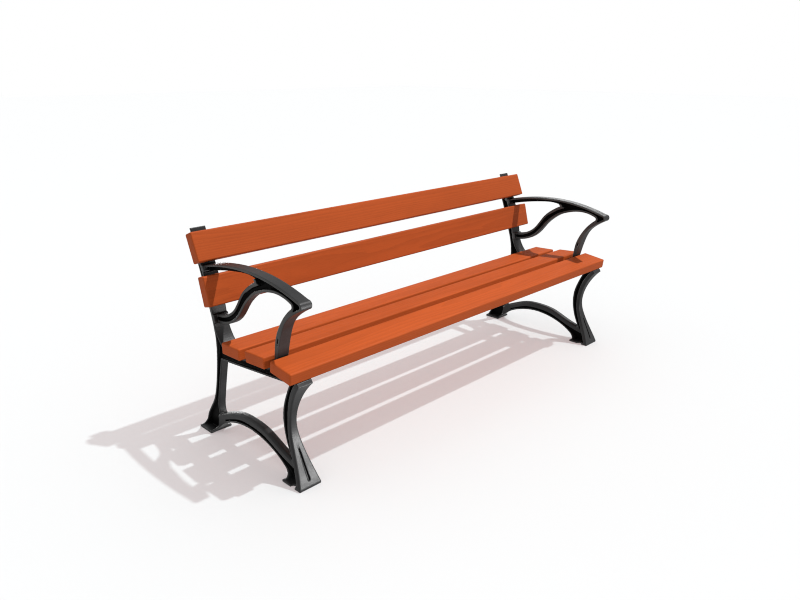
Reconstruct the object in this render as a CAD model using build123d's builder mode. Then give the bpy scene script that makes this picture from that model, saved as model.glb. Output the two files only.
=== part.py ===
from build123d import *
from math import cos, radians, sin
import os

os.makedirs("parts", exist_ok=True)

# Frame: +Z up, X along the bench, Y from front (-) to back (+). The origin is on the ground, under the
# middle of the bench. All lengths are millimetres.

# --- driving dimensions -------------------------------------------------------------------------------
plank_length = 1812.0
plank_width = 104.0
plank_thickness = 40.0
plank_round = 5.0
frame_spacing = 1704.0  # between the middle planes of the two side frames

web_half = 4.0  # half thickness of the recessed web
bearing_half = 28.5  # half width of the flange that carries the planks
bearing_flange = 8.0
arm_half = 22.0
arm_flange = 8.0
arm_flange_round = 5.0
brace_half = 13.5
leg_half = 14.0
upright_rear_half = 16.0
thin_flange = 7.0
loop_flange_depth = 9.5
leg_bar = 18.0  # depth of the rounded bar down the front of the front leg
leg_bar_round = 5.0
arch_bar = 24.0  # depth of the rounded bar along the top of the arch
arch_bar_round = 9.0
foot_half = 43.5
foot_plate = 8.0
plate_corner = 3.0
slot_width = 21.0
slot_reach = 13.5  # how far the anchor slots run in from the edge of the foot
slot_y = -252.5
groove_half = 4.5  # half width of the tapered groove down the toe of the front foot
groove_tip_half = 1.6
groove_depth = 5.0
groove_top = 140.0
groove_bottom = 27.0
back_rise = 19.0  # how far the side frame stands up above the upper plank
long_edge = 300.0  # longer than any edge of a bar but those that run along it

screw_shank = 8.0
screw_grip = 30.0  # length of the screw inside the plank
pilot_depth = 34.0
screw_head_flats = 13.0
screw_head_sides = 6
screw_head_height = 5.5
screw_head_chamfer = 0.8
screw_point_length = 6.0
screw_point_inset = 3.0
washer_outer = 20.0
washer_thickness = 1.6
flange_hole = 9.0
screw_offset_x = 17.0  # either side of the frame's middle plane
screw_offset_width = 22.0  # staggered along the width of the plank

# Planks: the middle of the face that rests on the frames, and how far that face leans (degrees). The face
# looks away from the side frame at lean + 90 degrees, measured in the Y-Z plane from +Y.
planks = {
    "seat_plank_front": ((-233.6, 377.4), 7.7),
    "seat_plank_middle": ((-101.9, 379.4), -4.0),
    "seat_plank_rear": ((38.2, 365.7), -2.5),
    "back_plank_lower": ((196.5, 553.5), 75.5),
    "back_plank_upper": ((245.8, 692.8), 68.0),
}

# --- planks -------------------------------------------------------------------------------------------


def bearing_point(name, along):
    """A point of the plank's bearing face, `along` mm up or rearwards from its middle."""
    (y, z), lean = planks[name]
    return (y + along * cos(radians(lean)), z + along * sin(radians(lean)))


def screw_places(name):
    """Y, Z and X offset from the frame's middle plane of the two screws that hold one plank."""
    places = []
    for side in (-1, 1):
        places.append((bearing_point(name, side * screw_offset_width), side * screw_offset_x))
    return places


def bearing_forward(name):
    """The direction along the plank's bearing face towards its lower or front edge."""
    lean = radians(planks[name][1])
    return (-cos(lean), -sin(lean))


def bearing_plane(name, point, x):
    """A plane on the bearing face at `point`, looking into the plank."""
    lean = radians(planks[name][1])
    return Plane(origin=(x, point[0], point[1]), x_dir=(1, 0, 0), z_dir=(0, -sin(lean), cos(lean)))


for plank_name, (middle, lean) in planks.items():
    with BuildPart() as plank:
        with BuildSketch(bearing_plane(plank_name, middle, 0)):
            Rectangle(plank_length, plank_width)
        extrude(amount=plank_thickness)
        fillet(plank.edges(), plank_round)
        for frame_x in (-frame_spacing / 2, frame_spacing / 2):
            for point, offset_x in screw_places(plank_name):
                with BuildSketch(bearing_plane(plank_name, point, frame_x + offset_x)):
                    Circle(screw_shank / 2)
                extrude(amount=pilot_depth, mode=Mode.SUBTRACT)
    plank.part.label = plank_name
    export_step(plank.part, f"parts/{plank_name}.step")

# --- outline of the side frame, in the Y-Z plane ------------------------------------------------------
half_plank = plank_width / 2
back_top = bearing_point("back_plank_upper", half_plank + back_rise)
back_top_rear = (280.5, 756)
seat_nose_top = bearing_point("seat_plank_front", -half_plank)
seat_nose_bottom = (-292, 358.5)
front_toe = -293
front_heel = -197
rear_toe = 236
rear_heel = 315
rear_ankle = (311, foot_plate)
rail_front = (-226, 346)
rail_rear = (168, 304)
arch_front = (-222, 72)
arch_rear = (210, 80)
arch_foot = (-205, foot_plate)
depth_room = 400  # further from the middle than any part of a side frame
height_room = 1000  # higher than any part of a side frame

with BuildLine() as back_bearing:
    Polyline(
        back_top,
        bearing_point("back_plank_upper", -half_plank),
        bearing_point("back_plank_lower", half_plank),
        bearing_point("back_plank_lower", -half_plank),
    )
with BuildLine() as lumbar_curve:
    Spline(
        bearing_point("back_plank_lower", -half_plank),
        (168, 430),
        (138, 383),
        bearing_point("seat_plank_rear", half_plank),
        tangents=(bearing_forward("back_plank_lower"), bearing_forward("seat_plank_rear")),
    )
with BuildLine() as seat_bearing:
    Polyline(
        bearing_point("seat_plank_rear", half_plank),
        bearing_point("seat_plank_rear", -half_plank),
        bearing_point("seat_plank_middle", half_plank),
        bearing_point("seat_plank_middle", -half_plank),
        bearing_point("seat_plank_front", half_plank),
        seat_nose_top,
        seat_nose_bottom,
    )
with BuildLine() as front_leg_front:
    Spline(
        seat_nose_bottom,
        (-262, 322),
        (-236, 274),
        (-221, 218),
        (-222, 172),
        (-237, 127),
        (-261, 77),
        (front_toe, foot_plate),
    )
with BuildLine() as front_leg_rear:
    Spline(rail_front, (-201, 294), (-184, 240), (-183, 185), (-197, 125), arch_front)
with BuildLine() as arch_under:
    Spline(arch_foot, (-152, 49), (-62, 83), (28, 92.5), (118, 78), (190, 47), (rear_toe, foot_plate))
arch_points = [arch_front, (-150, 94), (-70, 123), (12, 132), (90, 126), (150, 106), arch_rear]
arch_bar_ends = ((-246, 66), (232, 69))  # the rounded bar runs on into both legs
with BuildLine() as arch_top:
    Spline(*arch_points)
with BuildLine() as rear_leg_front:
    Spline(rail_rear, (182, 250), (196, 196), (208, 144), (214, 98), arch_rear)
with BuildLine() as rail_under:
    Line(rail_front, rail_rear)
with BuildLine() as back_rear:
    Spline(
        back_top_rear,
        (291, 712),
        (268, 632),
        (221, 492),
        (199, 410),
        (199, 320),
        (219, 207),
        (247, 127),
        (285, 73),
        (306, 34),
        rear_ankle,
    )

with BuildSketch(Plane.YZ) as lower_outline:
    with BuildLine():
        add(back_bearing.line)
        add(lumbar_curve.line)
        add(seat_bearing.line)
        add(front_leg_front.line)
        Polyline((front_toe, foot_plate), (front_toe, 0), (front_heel, 0), (front_heel, foot_plate))
        Line((front_heel, foot_plate), arch_foot)
        add(arch_under.line)
        Polyline((rear_toe, foot_plate), (rear_toe, 0), (rear_heel, 0), (rear_heel, foot_plate))
        Line((rear_heel, foot_plate), rear_ankle)
        add(back_rear.line)
        Line(back_top_rear, back_top)
    make_face()
    with BuildLine():
        add(rail_under.line)
        add(rear_leg_front.line)
        add(arch_top.line)
        add(front_leg_rear.line)
    make_face(mode=Mode.SUBTRACT)

# The corner between the arch and the rear foot is filled to the full width of the leg.
solid_corner = [(180, 62), (186, 86), (214, 76), (225, 62), (rear_toe, foot_plate), (205, 38)]

arm_root_top = (236, 634)
arm_root_under = (232, 612)
arm_front = (-300, 631)
arm_nose = (-303, 602)
post_foot_front = (-171, 378)
post_foot_rear = (-156, 378)
corner_rear = (-264, 602)
corner_top = (-261, 617)
fork_under = (-74, 602)
fork_top = (-76, 643)
brace_root_under = (184, 446)
brace_root_top = (190, 474)
with BuildLine() as arm_top:
    Spline(arm_root_top, (149, 654), (60, 667), (-50, 672), (-150, 665), (-240, 648), arm_front)
with BuildLine() as arm_tip:
    ThreePointArc(arm_front, (-314, 618), arm_nose)
with BuildLine() as post_front:
    Spline(arm_nose, (-262, 577), (-228, 546), (-203, 495), (-187, 440), post_foot_front)
with BuildLine() as post_rear:
    Spline(post_foot_rear, (-167, 430), (-175, 477), (-196, 525), (-234, 576), corner_rear)
with BuildLine() as arm_corner:
    ThreePointArc(corner_rear, (-268, 610), corner_top)
with BuildLine() as arm_under:
    Spline(corner_top, (-220, 629), (-172, 630), (-124, 620), fork_under)
with BuildLine() as brace_under:
    Spline(fork_under, (-36, 577), (2, 541), (30, 506), (70, 471), (116, 451), brace_root_under)
with BuildLine() as brace_top:
    Spline(fork_top, (-31, 618), (9, 586), (37, 550), (66, 515), (104, 490), brace_root_top)
with BuildLine() as arm_rear_under:
    Spline(fork_top, (-40, 651), (40, 648), (120, 636), arm_root_under)

# The brace's upper flange thickens where it forks from the arm.
fork_fill = [fork_top, (-31, 618), (-14, 592), (-55, 618), (-102, 638)]

with BuildSketch(Plane.YZ) as arm_outline:
    with BuildLine():
        add(arm_top.line)
        add(arm_tip.line)
        add(post_front.line)
        Line(post_foot_front, post_foot_rear)
        add(post_rear.line)
        add(arm_corner.line)
        add(arm_under.line)
        Line(fork_under, fork_top)
        add(arm_rear_under.line)
        Line(arm_root_under, arm_root_top)
    make_face()
    with BuildLine():
        Line(fork_top, fork_under)
        add(brace_under.line)
        Line(brace_root_under, brace_root_top)
        add(brace_top.line)
    make_face()

with BuildSketch(Plane.YZ) as whole_outline:
    add(lower_outline.sketch_local)
    add(arm_outline.sketch_local)


def draw_strip(lines, depth):
    """Draws, in the open sketch, the band of the outline within `depth` of some of its edges."""
    for curve in lines:
        trace(curve.line, line_width=2 * depth)
        for corner in curve.vertices():
            with Locations((corner.X, corner.Y)):
                Circle(depth)
    add(whole_outline.sketch_local, mode=Mode.INTERSECT)


# --- flanges and bars of the side frame, about its own middle plane -----------------------------------
# Half widths are drawn over height for the legs and over depth for the arm.
ankle_height = 34.0  # the legs narrow to their own width here, above the flared foot
upright_start = 330.0  # the back upright widens between these two heights
upright_height = 430.0
front_leg_widths = [(29, 73), (18, 150), (13.5, 213), (16, 262)]
front_leg_top = 350.0
seat_room = 390.0  # higher than the front leg
loop_front = -140.0  # the loop under the arm narrows between these two depths
loop_rear = -30.0

with BuildPart() as bearing:
    with BuildSketch(Plane.YZ.offset(-bearing_half)):
        draw_strip([back_bearing, lumbar_curve, seat_bearing], bearing_flange)
    extrude(amount=2 * bearing_half)

with BuildPart() as lower_flanges:
    with BuildSketch(Plane.YZ.offset(-foot_half)):
        draw_strip([rail_under, rear_leg_front, front_leg_rear, arch_under, back_rear], thin_flange)
    extrude(amount=2 * foot_half)
    with BuildSketch(Plane.XZ.offset(-depth_room)):
        with BuildLine():
            Line((0, foot_plate), (foot_half - plate_corner, foot_plate))
            Spline(
                (foot_half - plate_corner, foot_plate),
                (24, 15),
                (leg_half, ankle_height),
                tangents=((-1, 0.1), (0, 1)),
            )
            Line((leg_half, ankle_height), (leg_half, upright_start))
            upright_start_point = (leg_half, upright_start)
            upright_end_point = (upright_rear_half, upright_height)
            Spline(upright_start_point, upright_end_point, tangents=((0, 1), (0, 1)))
            Polyline(upright_end_point, (upright_rear_half, height_room), (0, height_room), (0, foot_plate))
        make_face()
        mirror(about=Plane.YZ)
    extrude(amount=2 * depth_room, mode=Mode.INTERSECT)

with BuildPart() as front_bar:
    with BuildSketch(Plane.YZ.offset(-foot_half)):
        draw_strip([front_leg_front], leg_bar)
    extrude(amount=2 * foot_half)
    with BuildSketch(Plane.XZ.offset(-depth_room)):
        with BuildLine():
            Line((foot_half, 0), (foot_half, foot_plate))
            Spline((foot_half, foot_plate), *front_leg_widths, (bearing_half, front_leg_top))
            Line((bearing_half, front_leg_top), (bearing_half, seat_room))
            Polyline((bearing_half, seat_room), (0, seat_room), (0, 0), (foot_half, 0))
        make_face()
        mirror(about=Plane.YZ)
    extrude(amount=2 * depth_room, mode=Mode.INTERSECT)
    front_edges = front_bar.edges().filter_by(lambda edge: edge.length > long_edge).sort_by(Axis.Y)[:2]
    fillet(front_edges, leg_bar_round)

with BuildPart() as arch:
    with BuildLine(Plane.YZ) as arch_path:
        Spline(arch_bar_ends[0], *arch_points, arch_bar_ends[1])
    across_path = Plane(origin=arch_path.line @ 0, x_dir=(1, 0, 0), z_dir=arch_path.line % 0)
    with BuildSketch(across_path) as arch_profile:
        with Locations((0, arch_bar / 2)):
            Rectangle(2 * leg_half, arch_bar)
        fillet(arch_profile.vertices().sort_by(Axis.Y)[:2], arch_bar_round)
    sweep(path=arch_path.line)
    with BuildSketch(Plane.YZ.offset(-leg_half)):
        Polygon(*solid_corner, align=None)
    extrude(amount=2 * leg_half)

with BuildPart() as arm_flanges:
    with BuildSketch(Plane.YZ.offset(-arm_half)):
        draw_strip([arm_top, arm_tip, post_front], arm_flange)
    extrude(amount=2 * arm_half)
    arm_edges = arm_flanges.edges().filter_by(lambda edge: edge.length > long_edge).sort_by(Axis.Z)[-2:]
    fillet(arm_edges, arm_flange_round)

with BuildPart() as loop_flange:
    with BuildSketch(Plane.YZ.offset(-arm_half)):
        Polygon(*fork_fill, align=None)
        draw_strip([post_rear, arm_corner, arm_under, brace_under, brace_top], loop_flange_depth)
    extrude(amount=2 * arm_half)
    with BuildSketch(Plane.XY):
        with BuildLine():
            Polyline((0, -depth_room), (arm_half, -depth_room), (arm_half, loop_front))
            Spline((arm_half, loop_front), (brace_half, loop_rear), tangents=((0, 1), (0, 1)))
            Polyline((brace_half, loop_rear), (brace_half, depth_room), (0, depth_room), (0, -depth_room))
        make_face()
        mirror(about=Plane.YZ)
    extrude(amount=height_room, mode=Mode.INTERSECT)

with BuildPart() as foot_groove:
    with BuildSketch(Plane.YZ.offset(-groove_half)):
        trace(front_leg_front.line, line_width=2 * groove_depth)
    extrude(amount=2 * groove_half)
    with BuildSketch(Plane.XZ.offset(-depth_room)):
        with BuildLine():
            right_side = Line((groove_half, groove_bottom), (groove_tip_half, groove_top))
            left_side = Line((-groove_tip_half, groove_top), (-groove_half, groove_bottom))
            ThreePointArc(right_side @ 1, (0, groove_top + groove_tip_half), left_side @ 0)
            ThreePointArc(left_side @ 1, (0, groove_bottom - groove_half), right_side @ 0)
        make_face()
    extrude(amount=2 * depth_room, mode=Mode.INTERSECT)

# --- one side frame -----------------------------------------------------------------------------------
with BuildPart() as side_frame:
    with BuildSketch(Plane.YZ.offset(-web_half)):
        add(whole_outline.sketch_local)
    extrude(amount=2 * web_half)
    for piece in (bearing, lower_flanges, front_bar, arch, arm_flanges, loop_flange):
        add(piece.part)
    for toe, heel in ((front_toe, front_heel), (rear_toe, rear_heel)):
        with BuildSketch(Plane.XY):
            with Locations((0, (toe + heel) / 2)):
                RectangleRounded(2 * foot_half, heel - toe, plate_corner)
        extrude(amount=foot_plate)
    add(foot_groove.part, mode=Mode.SUBTRACT)
    # Open-ended anchor slots in both sides of the front foot plate.
    with BuildSketch(Plane.XY):
        with Locations((foot_half, slot_y), (-foot_half, slot_y)):
            SlotOverall(2 * slot_reach, slot_width)
    extrude(amount=foot_plate, mode=Mode.SUBTRACT)
    for plank_name in planks:
        for point, offset_x in screw_places(plank_name):
            with BuildSketch(bearing_plane(plank_name, point, offset_x)):
                Circle(flange_hole / 2)
            extrude(amount=-bearing_flange, mode=Mode.SUBTRACT)

# --- one coach screw and one washer, standing on the washer's seat ------------------------------------
with BuildPart() as washer:
    with BuildSketch():
        Circle(washer_outer / 2)
        Circle(flange_hole / 2, mode=Mode.SUBTRACT)
    extrude(amount=-washer_thickness)

with BuildPart() as coach_screw:
    with BuildSketch(Plane.XY.offset(-washer_thickness)):
        RegularPolygon(screw_head_flats / 2, screw_head_sides, major_radius=False)
    extrude(amount=-screw_head_height)
    chamfer(coach_screw.edges().group_by(Axis.Z)[0], screw_head_chamfer)
    with BuildSketch(Plane.XY.offset(-washer_thickness)):
        Circle(screw_shank / 2)
    extrude(amount=washer_thickness + bearing_flange + screw_grip)
    chamfer(coach_screw.edges().group_by(Axis.Z)[-1], screw_point_length, screw_point_inset)

# --- both side frames, with their screws and washers --------------------------------------------------
for side, frame_x in (("left", -frame_spacing / 2), ("right", frame_spacing / 2)):
    with BuildPart() as placed_frame:
        with Locations((frame_x, 0, 0)):
            add(side_frame.part)
    placed_frame.part.label = f"side_frame_{side}"
    export_step(placed_frame.part, f"parts/side_frame_{side}.step")

    seats = []
    for plank_name in planks:
        for point, offset_x in screw_places(plank_name):
            seats.append(bearing_plane(plank_name, point, frame_x + offset_x).offset(-bearing_flange))
    with BuildPart() as coach_screws:
        with Locations(*[seat.location for seat in seats]):
            add(coach_screw.part)
    coach_screws.part.label = f"coach_screws_{side}"
    export_step(coach_screws.part, f"parts/coach_screws_{side}.step")
    with BuildPart() as washers:
        with Locations(*[seat.location for seat in seats]):
            add(washer.part)
    washers.part.label = f"washers_{side}"
    export_step(washers.part, f"parts/washers_{side}.step")
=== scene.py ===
import math

import bpy
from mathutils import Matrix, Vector


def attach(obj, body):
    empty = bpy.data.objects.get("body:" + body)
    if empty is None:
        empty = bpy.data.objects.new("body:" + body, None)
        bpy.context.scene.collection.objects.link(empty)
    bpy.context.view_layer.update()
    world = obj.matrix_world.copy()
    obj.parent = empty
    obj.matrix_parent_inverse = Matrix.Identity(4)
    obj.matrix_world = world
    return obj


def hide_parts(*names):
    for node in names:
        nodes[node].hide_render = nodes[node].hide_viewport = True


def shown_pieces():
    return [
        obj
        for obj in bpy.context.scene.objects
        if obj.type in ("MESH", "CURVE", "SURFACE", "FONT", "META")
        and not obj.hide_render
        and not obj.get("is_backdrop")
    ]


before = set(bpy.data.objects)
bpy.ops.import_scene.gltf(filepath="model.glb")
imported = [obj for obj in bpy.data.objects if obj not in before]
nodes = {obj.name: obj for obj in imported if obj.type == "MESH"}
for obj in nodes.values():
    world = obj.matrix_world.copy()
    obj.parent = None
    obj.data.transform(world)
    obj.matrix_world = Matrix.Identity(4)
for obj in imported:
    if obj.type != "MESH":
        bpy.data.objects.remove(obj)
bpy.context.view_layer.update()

SIDES = ("left", "right")

# --- sizes, in metres -------------------------------------------------------------------
VOXEL = 0.0018  # grid of the mesh that stands for a casting
SMOOTHING_FACTOR = 0.5
SMOOTHING_STEPS = 6  # rounds the casting's edges as sand casting does
CASTING_X = 0.852  # from the middle of the bench to the middle plane of a casting
WEB_HALF = 0.004  # half thickness of a casting's recessed web
WEB_MARGIN = (0.001, 0.005)  # beyond the web's faces, the painted shade of the recess fades out here
RECESS_REACH = 0.022  # walls nearer than this darken the paint, as painted shade
SIDE_LIGHT_HEIGHTS = (0.41, 0.45)  # the painted light on sideways faces starts between these heights
HANDLED_HEIGHTS = (0.58, 0.62)  # the paint polished by hands starts between these
FLOOR_HALF = 30.0

# --- colours, linear --------------------------------------------------------------------
PAINT_DARK = (0.0090, 0.0090, 0.0094, 1)
PAINT_PALE = (0.0150, 0.0150, 0.0155, 1)
PAINT_SPECK = (0.060, 0.060, 0.061, 1)
# lighter paint on sharp edges: partly wear, partly painted highlight
WORN_EDGE_HIGHLIGHT = (0.070, 0.070, 0.072, 1)
# darker paint in concave hollows and creases: painted shade
HOLLOW_SHADE = (0.004, 0.004, 0.004, 1)
# lighter paint for sideways faces up high: painted light
SIDE_LIGHT = (0.062, 0.062, 0.060, 1)
# near-black paint for the recesses: painted shade
RECESS_SHADE = (0.002, 0.002, 0.002, 1)
ZINC_DARK = (0.030, 0.030, 0.031, 1)
ZINC_PALE = (0.060, 0.060, 0.060, 1)
SEAT_COLOUR = (0.412, 0.0740, 0.0155)
# the seat's stain made about a tenth darker: painted shade for the upright back planks
BACK_SHADED_COLOUR = (0.372, 0.0675, 0.0148)
GRAIN_LIGHT = 1.16  # the stain's colour is multiplied by these in the grain
GRAIN_DARK = 0.70
GRAIN_DEEP = 0.42
FLOOR_COLOUR = (0.80, 0.80, 0.80, 1.0)
WHITE = (1, 1, 1, 1)

# Per plank: the stain, the pith (Y, Z) that its rings circle, and a shift along the grain.
PLANK_LOOKS = {
    "seat_plank_front": (SEAT_COLOUR, (-0.19, 0.30), 0.0),
    "seat_plank_middle": (SEAT_COLOUR, (-0.13, 0.33), 3.1),
    "seat_plank_rear": (SEAT_COLOUR, (0.02, 0.29), 6.7),
    "back_plank_lower": (BACK_SHADED_COLOUR, (0.27, 0.52), 9.4),
    "back_plank_upper": (BACK_SHADED_COLOUR, (0.33, 0.73), 12.2),
}

# --- lights and camera ------------------------------------------------------------------
SUN_DIRECTION = Vector((-0.452, 0.335, -1.0))  # the sunlight travels this way
SUN_ANGLE = math.radians(1.2)
DOWN = Vector((0, 0, -1))
KEY_STRENGTH = 3.80  # the sun on the bench
FLOOR_SUN_STRENGTH = 1.35  # the same sun on the floor, weaker so that its shadows stay soft
FLOOR_SUN_COLOUR = (0.84, 1.0, 1.0)
FLOOR_FILL_STRENGTH = 1.0
FLOOR_FILL_COLOUR = (1.0, 0.84, 0.85)
SKY_STRENGTH = 0.62
BACKGROUND_STRENGTH = 1.0  # what the camera sees beyond the floor

# Softboxes that light the castings only: name, place, aim, width, height and power.
SOFTBOXES = (
    # At the front, to the right of the camera.
    ("softbox", Vector((0.65, -2.85, 0.55)), Vector((-0.85, -0.28, 0.15)), 1.4, 0.9, 40.0),
    # Low and close, shining along the toe of the near front foot.
    ("toe_light", Vector((-0.40, -1.03, 0.20)), Vector((-CASTING_X, -0.28, 0.04)), 0.45, 0.25, 9.0),
    # Grazing the top of the far arm.
    ("arm_light", Vector((2.12, 0.45, 1.19)), Vector((CASTING_X, -0.15, 0.665)), 0.8, 0.4, 5.0),
    # Low behind the bench, giving the castings form from the back.
    ("back_light", Vector((0.0, 3.2, 0.30)), Vector((0.0, 0.2, 0.35)), 3.0, 0.5, 60.0),
)

CAMERA_PLACE = Vector((-2.00065, -1.84246, 1.28001))
CAMERA_AZIMUTH = math.radians(-45.0)
CAMERA_ELEVATION = math.radians(18.75)
CAMERA_LENS = 31.339  # in millimetres, like the sensor
SENSOR_WIDTH = 36.0
CAMERA_REACH = 100.0
PIXEL_FILTER_WIDTH = 1.1


# --- node helpers -----------------------------------------------------------------------


class Shader:
    """A material under construction: a Principled shader and the nodes that feed it."""

    def __init__(self, name):
        self.material = bpy.data.materials.new(name)
        self.material.use_nodes = True
        self.tree = self.material.node_tree
        self.tree.nodes.clear()
        self.output = self.tree.nodes.new("ShaderNodeOutputMaterial")
        self.principled = self.tree.nodes.new("ShaderNodeBsdfPrincipled")
        self.tree.links.new(self.principled.outputs["BSDF"], self.output.inputs["Surface"])

    def give(self, socket, value):
        """Links value to the socket if it is a socket too, and otherwise sets it."""
        if isinstance(value, bpy.types.NodeSocket):
            self.tree.links.new(value, socket)
        else:
            socket.default_value = value

    def node(self, kind, inputs=None, **settings):
        made = self.tree.nodes.new(kind)
        for key, value in settings.items():
            setattr(made, key, value)
        for key, value in (inputs or {}).items():
            self.give(made.inputs[key], value)
        return made

    def vector_math(self, operation, first, second):
        return self.node("ShaderNodeVectorMath", {0: first, 1: second}, operation=operation).outputs[0]

    def place(self, scale=(1, 1, 1), offset=(0, 0, 0)):
        """The point in the frame of the part, moved by offset and then stretched by scale."""
        point = self.node("ShaderNodeTexCoord").outputs["Object"]
        return self.vector_math("MULTIPLY", self.vector_math("ADD", point, offset), scale)

    def split(self, vector):
        """The X, Y and Z outputs of a vector."""
        return self.node("ShaderNodeSeparateXYZ", {0: vector}).outputs

    def noise(self, vector, scale=1.0, detail=3.0, roughness=0.5):
        inputs = {"Vector": vector, "Scale": scale, "Detail": detail, "Roughness": roughness}
        return self.node("ShaderNodeTexNoise", inputs).outputs["Fac"]

    def ramp(self, factor, low, high, to_low=0.0, to_high=1.0):
        """A smooth step from to_low, where factor is low, to to_high, where it is high."""
        inputs = {"Value": factor, "From Min": low, "From Max": high}
        inputs.update({"To Min": to_low, "To Max": to_high})
        made = self.node("ShaderNodeMapRange", inputs)
        made.interpolation_type = "SMOOTHSTEP"
        return made.outputs["Result"]

    def math(self, operation, first, second=None):
        inputs = {0: first}
        if second is not None:
            inputs[1] = second
        return self.node("ShaderNodeMath", inputs, operation=operation).outputs[0]

    def times(self, first, second):
        return self.math("MULTIPLY", first, second)

    def mix(self, factor, first, second):
        """A blend of two colours; sockets 0, 6 and 7 are a colour mix's factor, A and B."""
        made = self.node("ShaderNodeMix", data_type="RGBA", blend_type="MIX")
        for index, value in ((0, factor), (6, first), (7, second)):
            self.give(made.inputs[index], value)
        return made.outputs[2]

    def bump(self, height, strength, distance, normal=None):
        inputs = {"Height": height, "Strength": strength, "Distance": distance}
        if normal is not None:
            inputs["Normal"] = normal
        return self.node("ShaderNodeBump", inputs).outputs["Normal"]

    def feed(self, **sockets):
        """Sets or links sockets of the Principled shader; an underscore stands for a space."""
        for key, value in sockets.items():
            self.give(self.principled.inputs[key.replace("_", " ")], value)


# --- materials --------------------------------------------------------------------------


def unshaded_mask(shader, point, not_sideways):
    """1 on the open faces of a casting and 0 deep in its recesses, where the paint is darkened as
    painted shade.
    """
    # The recessed web lies near the middle plane of its casting and faces sideways; it gets painted
    # shade too.
    from_middle = shader.math("SUBTRACT", shader.math("ABSOLUTE", point["X"]), CASTING_X)
    off_middle = shader.math("ABSOLUTE", from_middle)
    not_web = shader.ramp(off_middle, *(WEB_HALF + margin for margin in WEB_MARGIN))
    around = shader.node(
        "ShaderNodeAmbientOcclusion", {"Distance": RECESS_REACH}, samples=8, only_local=True
    )
    unsheltered = shader.ramp(around.outputs["AO"], 0.35, 0.95)
    return shader.times(shader.math("MAXIMUM", not_web, not_sideways), unsheltered)


def painted_casting(name):
    """Satin black paint over the fine grain of a sand casting, with painted shade in its recesses and
    hollows and painted light on its edges and sideways faces.
    """
    shader = Shader(name)
    here = shader.place()
    point = shader.split(here)
    geometry = shader.node("ShaderNodeNewGeometry").outputs
    facing = shader.split(geometry["Normal"])
    grain = shader.noise(here, scale=420.0, detail=4.0, roughness=0.65)
    swell = shader.noise(here, scale=28.0)
    cloud = shader.noise(here, scale=9.0, detail=5.0, roughness=0.6)
    edge = shader.ramp(geometry["Pointiness"], 0.53, 0.62)
    hollow = shader.ramp(geometry["Pointiness"], 0.40, 0.49)
    not_sideways = shader.ramp(shader.math("ABSOLUTE", facing["X"]), 0.75, 0.45)
    unshaded = unshaded_mask(shader, point, not_sideways)

    paint = shader.mix(shader.ramp(cloud, 0.3, 0.7), PAINT_DARK, PAINT_PALE)
    speckled = shader.mix(shader.ramp(grain, 0.55, 0.78, 0.0, 0.6), paint, PAINT_SPECK)
    # Sharp edges get lighter paint: partly wear, partly painted highlight where light catches them.
    wear_and_highlight = shader.times(edge, shader.ramp(cloud, 0.35, 0.65, 0.35, 0.9))
    worn_and_lit = shader.mix(wear_and_highlight, speckled, WORN_EDGE_HIGHLIGHT)
    # Painted shade: the hollows and creases are painted darker.
    hollows_shaded = shader.mix(hollow, HOLLOW_SHADE, worn_and_lit)
    # The sideways faces of the arm, post and brace get lighter paint: painted light on the faces that
    # look sideways.
    sideways = shader.math("SUBTRACT", 1.0, not_sideways)
    side_light = shader.times(sideways, shader.ramp(point["Z"], *SIDE_LIGHT_HEIGHTS))
    patchy_side_light = shader.times(side_light, shader.ramp(cloud, 0.3, 0.7, 0.45, 0.95))
    side_lit = shader.mix(patchy_side_light, hollows_shaded, SIDE_LIGHT)
    # Painted shade: the recesses are painted near-black.
    shader.feed(Base_Color=shader.mix(unshaded, RECESS_SHADE, side_lit))

    top = shader.ramp(facing["Z"], 0.75, 0.95)
    handled = shader.times(top, shader.ramp(point["Z"], *HANDLED_HEIGHTS))
    polish = shader.math("ADD", shader.times(edge, 0.08), shader.times(handled, 0.03))
    rough = shader.ramp(cloud, 0.3, 0.7, 0.36, 0.50)
    shader.feed(Roughness=shader.math("SUBTRACT", rough, polish))
    # Painted shade: the reflection is turned down in the recesses.
    shader.feed(Specular_IOR_Level=shader.ramp(unshaded, 0.0, 1.0, 0.02, 0.30))

    pits = shader.node("ShaderNodeTexVoronoi", {"Vector": here, "Scale": 260.0}, feature="F1")
    fine = shader.bump(grain, 0.35, 0.0004)
    pitted = shader.bump(pits.outputs["Distance"], 0.25, 0.0006, fine)
    shader.feed(Normal=shader.bump(swell, 0.3, 0.0012, pitted))
    return shader.material


def growth_rings(shader, offset):
    """Rings around the X axis of the moved point, warped as a grown trunk is."""
    along = shader.place((0.12, 1, 1), offset)
    warp = shader.node("ShaderNodeTexNoise", {"Vector": along, "Scale": 9.0, "Detail": 2.0})
    centred = shader.vector_math("SUBTRACT", warp.outputs["Color"], (0.5, 0.5, 0.5))
    pushed = shader.vector_math("MULTIPLY", centred, (0.0, 0.030, 0.030))
    warped = shader.vector_math("ADD", along, pushed)
    rings = shader.node(
        "ShaderNodeTexWave",
        {"Vector": warped, "Scale": 52.0, "Distortion": 1.2, "Detail": 2.0, "Detail Scale": 1.5},
        wave_type="RINGS",
        rings_direction="X",
        wave_profile="SAW",
    )
    return rings.outputs["Fac"]


def multiplied(colour, factor):
    return tuple(min(1.0, channel * factor) for channel in colour) + (1,)


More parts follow.
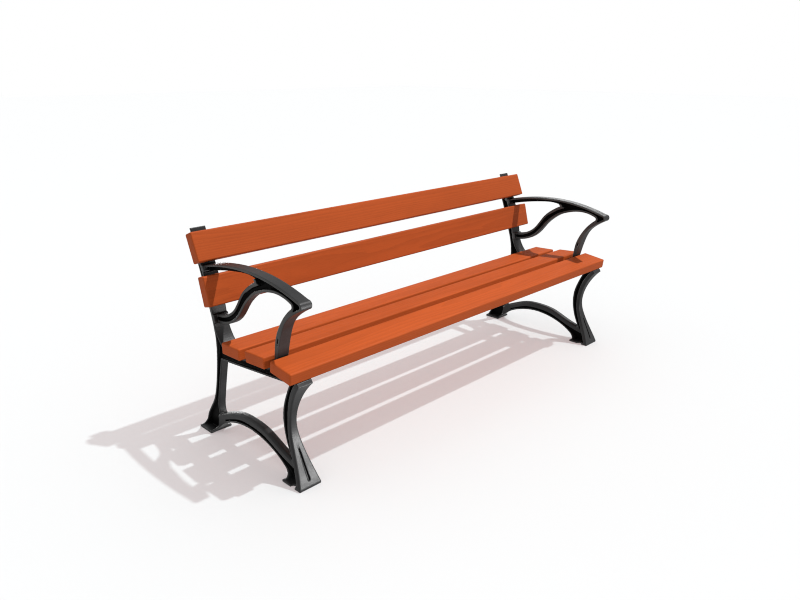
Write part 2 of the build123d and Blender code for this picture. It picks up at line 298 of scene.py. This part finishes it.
def stained_wood(name, colour, pith, shift):
    """Red-brown stain over straight grain. The rings circle a pith at `pith` (Y, Z), along X."""
    shader = Shader(name)
    offset = (shift, -pith[0], -pith[1])
    rings = growth_rings(shader, offset)
    fibre = shader.noise(shader.place((14, 900, 900), offset), roughness=0.6)
    pores = shader.noise(shader.place((45, 1500, 1500), offset), detail=1.0)
    cloud = shader.noise(shader.place((1.2, 9, 9), offset), detail=4.0, roughness=0.6)

    dark = multiplied(colour, GRAIN_DARK)
    ringed = shader.mix(shader.ramp(rings, 0.15, 0.95), multiplied(colour, GRAIN_LIGHT), dark)
    base = shader.mix(0.24, colour + (1,), ringed)
    mottled = shader.mix(shader.ramp(cloud, 0.35, 0.7, 0.0, 0.35), base, dark)
    deep = multiplied(colour, GRAIN_DEEP)
    streaked = shader.mix(shader.ramp(fibre, 0.52, 0.75, 0.0, 0.34), mottled, deep)
    shader.feed(Base_Color=streaked)
    shader.feed(Roughness=shader.ramp(fibre, 0.3, 0.7, 0.46, 0.62), Specular_IOR_Level=0.07)
    raised = shader.bump(fibre, 0.35, 0.0005)
    shader.feed(Normal=shader.bump(pores, 0.20, 0.0003, raised))
    return shader.material


def black_zinc(name):
    """Blackened zinc plating with a faint bloom."""
    shader = Shader(name)
    bloom = shader.noise(shader.place(), scale=160.0, detail=4.0, roughness=0.7)
    shader.feed(Base_Color=shader.mix(shader.ramp(bloom, 0.35, 0.7), ZINC_DARK, ZINC_PALE))
    shader.feed(Metallic=1.0, Roughness=shader.ramp(bloom, 0.3, 0.7, 0.34, 0.56))
    shader.feed(Normal=shader.bump(bloom, 0.15, 0.0002))
    return shader.material


def pale_floor(name):
    shader = Shader(name)
    shader.feed(Base_Color=FLOOR_COLOUR, Roughness=0.9, Specular_IOR_Level=0.1)
    return shader.material


def paint_with(piece, material):
    piece.data.materials.clear()
    piece.data.materials.append(material)


# --- castings: the CAD solid with its edges rounded as sand casting leaves them ---------


def rounded_mesh(copy):
    """The mesh that the object gets from a voxel remesh and smoothing."""
    remesh = copy.modifiers.new("remesh", "REMESH")
    remesh.mode = "VOXEL"
    remesh.voxel_size = VOXEL
    smooth = copy.modifiers.new("smooth", "SMOOTH")
    smooth.factor = SMOOTHING_FACTOR
    smooth.iterations = SMOOTHING_STEPS
    bpy.context.view_layer.update()
    evaluated = copy.evaluated_get(bpy.context.evaluated_depsgraph_get())
    return bpy.data.meshes.new_from_object(evaluated)


casting_paint = painted_casting("casting_paint")
castings = []
for side in SIDES:
    source = nodes[f"side_frame_{side}"]
    casting = bpy.data.objects.new(f"casting_{side}", source.data.copy())
    bpy.context.scene.collection.objects.link(casting)
    rounded = rounded_mesh(casting)
    casting.modifiers.clear()
    casting.data = rounded
    casting.data.shade_smooth()
    paint_with(casting, casting_paint)
    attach(casting, "root")
    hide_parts(f"side_frame_{side}")
    castings.append(casting)

# --- planks and fasteners, the CAD nodes ------------------------------------------------
for node_name, (colour, pith, shift) in PLANK_LOOKS.items():
    paint_with(nodes[node_name], stained_wood(f"wood_{node_name}", colour, pith, shift))

zinc = black_zinc("black_zinc")
for side in SIDES:
    paint_with(nodes[f"coach_screws_{side}"], zinc)
    paint_with(nodes[f"washers_{side}"], zinc)

# --- floor ------------------------------------------------------------------------------
floor_mesh = bpy.data.meshes.new("floor")
floor_corners = [(x * FLOOR_HALF, y * FLOOR_HALF, 0) for x, y in ((-1, -1), (1, -1), (1, 1), (-1, 1))]
floor_mesh.from_pydata(floor_corners, [], [(0, 1, 2, 3)])
floor = bpy.data.objects.new("floor", floor_mesh)
bpy.context.scene.collection.objects.link(floor)
paint_with(floor, pale_floor("floor_pale"))
floor.visible_glossy = False  # so the paint mirrors the even sky from below too
floor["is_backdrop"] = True

# --- lights -----------------------------------------------------------------------------


def receiver_set(name, pieces):
    """A collection of the only pieces that a light linked to it shines on."""
    receivers = bpy.data.collections.new(name)
    for piece in pieces:
        receivers.objects.link(piece)
    return receivers


def add_light(name, light, direction, receivers):
    """A light that points along direction and shines on the receivers only."""
    source = bpy.data.objects.new(name, light)
    source.rotation_mode = "QUATERNION"
    source.rotation_quaternion = direction.to_track_quat("-Z", "Y")
    source.light_linking.receiver_collection = receivers
    bpy.context.scene.collection.objects.link(source)
    return source


def add_sun(name, direction, strength, receivers, colour=(1, 1, 1), shadow=True):
    light = bpy.data.lights.new(name, "SUN")
    light.energy = strength
    light.color = colour
    light.angle = SUN_ANGLE
    light.use_shadow = shadow
    add_light(name, light, direction, receivers)


def add_softbox(name, place, aim, width, height, power, receivers):
    light = bpy.data.lights.new(name, "AREA")
    light.shape = "RECTANGLE"
    light.size = width
    light.size_y = height
    light.energy = power
    softbox = add_light(name, light, aim - place, receivers)
    softbox.location = place
    softbox.visible_camera = False


# Three sets, of which the castings are in two. With a fourth set that overlapped these, some
# renders lit the planks wrongly and others didn't.
bench_only = receiver_set("bench_only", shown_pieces())
castings_only = receiver_set("castings_only", castings)
floor_only = receiver_set("floor_only", [floor])

add_sun("key", SUN_DIRECTION, KEY_STRENGTH, bench_only)
add_sun("floor_sun", SUN_DIRECTION, FLOOR_SUN_STRENGTH, floor_only, FLOOR_SUN_COLOUR)
add_sun("floor_fill", DOWN, FLOOR_FILL_STRENGTH, floor_only, FLOOR_FILL_COLOUR, shadow=False)
for softbox_looks in SOFTBOXES:
    add_softbox(*softbox_looks, castings_only)


def add_sky():
    """Even white light, which the camera sees at another strength than the bench does."""
    world = bpy.data.worlds.new("studio")
    world.use_nodes = True
    tree = world.node_tree
    sky = tree.nodes["Background"]
    backdrop = tree.nodes.new("ShaderNodeBackground")
    for background, strength in ((sky, SKY_STRENGTH), (backdrop, BACKGROUND_STRENGTH)):
        background.inputs["Color"].default_value = WHITE
        background.inputs["Strength"].default_value = strength
    ray = tree.nodes.new("ShaderNodeLightPath")
    either = tree.nodes.new("ShaderNodeMixShader")
    tree.links.new(ray.outputs["Is Camera Ray"], either.inputs[0])
    tree.links.new(sky.outputs[0], either.inputs[1])
    tree.links.new(backdrop.outputs[0], either.inputs[2])
    tree.links.new(either.outputs[0], tree.nodes["World Output"].inputs["Surface"])
    bpy.context.scene.world = world


add_sky()

# --- camera -----------------------------------------------------------------------------
camera_data = bpy.data.cameras.new("camera")
camera_data.sensor_width = SENSOR_WIDTH
camera_data.lens = CAMERA_LENS
camera_data.clip_end = CAMERA_REACH
camera = bpy.data.objects.new("camera", camera_data)
camera.location = CAMERA_PLACE
level = math.cos(CAMERA_ELEVATION)
looking = Vector(
    (
        -math.sin(CAMERA_AZIMUTH) * level,
        math.cos(CAMERA_AZIMUTH) * level,
        -math.sin(CAMERA_ELEVATION),
    )
)
camera.rotation_mode = "QUATERNION"
camera.rotation_quaternion = looking.to_track_quat("-Z", "Y")
bpy.context.scene.collection.objects.link(camera)
bpy.context.scene.camera = camera
bpy.context.scene.view_settings.view_transform = "Standard"
bpy.context.scene.cycles.filter_width = PIXEL_FILTER_WIDTH
